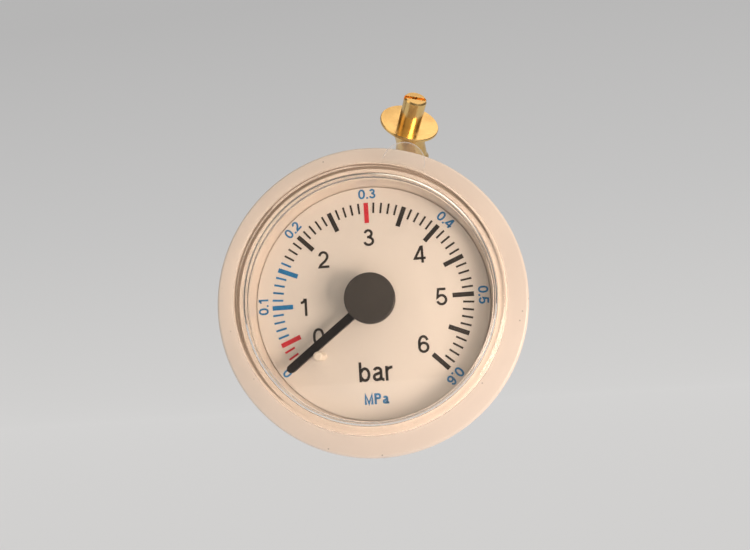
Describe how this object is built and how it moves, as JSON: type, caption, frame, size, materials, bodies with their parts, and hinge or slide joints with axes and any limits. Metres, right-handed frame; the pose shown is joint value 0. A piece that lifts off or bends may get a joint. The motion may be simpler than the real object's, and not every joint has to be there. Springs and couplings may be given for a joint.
{
  "type": "pressure gauge",
  "caption": "Round panel pressure gauge with a domed clear lens, Bourdon movement and a coiled capillary with a brass fitting.",
  "frame": {"origin": "on the gauge's axis, in the plane of the bezel flange's back face, which rests on the panel", "axes": "+Z towards 12 o'clock on the dial, +Y along the axis into the panel, the dial faces -Y"},
  "size_m": [0.052, 0.0437, 0.0639],
  "materials": {
    "white_plastic": "moulded, satin gloss",
    "cover_plastic": "moulded, fine texture",
    "clear_lens": "clear moulded plastic, gloss",
    "clear_film": "thin clear film",
    "dial_paint": "matt white",
    "black_print": "matt ink",
    "blue_print": "matt ink",
    "red_print": "matt ink",
    "white_pin": "satin",
    "black_paint": "satin",
    "black_plastic": "moulded, satin",
    "bronze_strip": "rolled",
    "bronze_tube": "drawn, slightly dulled",
    "brass": "machined",
    "polished_brass": "turned, bright",
    "copper": "drawn copper, slightly dulled",
    "steel": "turned",
    "tie_plastic": "flexible plastic"
  },
  "bodies": {
    "case": {"arm_screws": "steel", "back_cover": "cover_plastic", "bezel_case": "white_plastic", "bourdon_tube": "bronze_tube", "capillary_coil": "copper", "capillary_lead": "copper", "capillary_root": "copper", "coil_tie": "tie_plastic", "cover_screws": "steel", "dial": "dial_paint", "end_fitting": "polished_brass", "front_plate": "brass", "gland": "brass", "hairspring_stud": "brass", "inlet_tube": "copper", "lens": "clear_lens", "lens_film": "clear_film", "pillars": "brass", "plate_screws": "steel", "rear_plate": "brass", "scale_marks_black": "black_print", "scale_marks_blue": "blue_print", "scale_marks_red": "red_print", "socket_block": "brass", "socket_screws": "steel", "stop_pin": "white_pin"},
    "pointer": {"pinion_staff": "steel", "hairspring_collet": "brass", "hairspring": "bronze_strip", "pointer": "black_paint", "pointer_hub": "black_plastic"},
    "sector": {"sector": "brass", "sector_arbor": "steel"},
    "link": {"link": "brass", "link_pins": "steel"},
    "tip": {"tube_tip": "brass"}
  },
  "joints": [
    {"name": "sector_turn", "type": "hinge", "parent": "case", "child": "sector", "pos_m": [-0.011, 0.0078, 0.00008], "axis": [0, -1, 0], "range_deg": [0, 27], "stiffness_Nm_per_rad": 0.02, "springref_deg": -5.73},
    {"name": "pointer_turn", "type": "hinge", "parent": "case", "child": "pointer", "pos_m": [0, 0, 0], "axis": [0, 1, 0], "range_deg": [0, 270], "deforming": ["hairspring"]},
    {"name": "link_turn", "type": "hinge", "parent": "sector", "child": "link", "pos_m": [-0.01481, 0.0078, -0.00232], "axis": [0, -1, 0], "range_deg": [-27, 0]},
    {"name": "tip_turn", "type": "hinge", "parent": "case", "child": "tip", "pos_m": [0.00469, 0.0105, 0.00092], "axis": [0, -1, 0], "range_deg": [0, 7.5], "deforming": ["bourdon_tube"]}
  ],
  "couplings": [
    {"joint": "pointer_turn", "follows": "sector_turn", "ratio": 10},
    {"joint": "link_turn", "follows": "sector_turn", "ratio": -1},
    {"joint": "tip_turn", "follows": "sector_turn", "ratio": 0.27791}
  ]
}
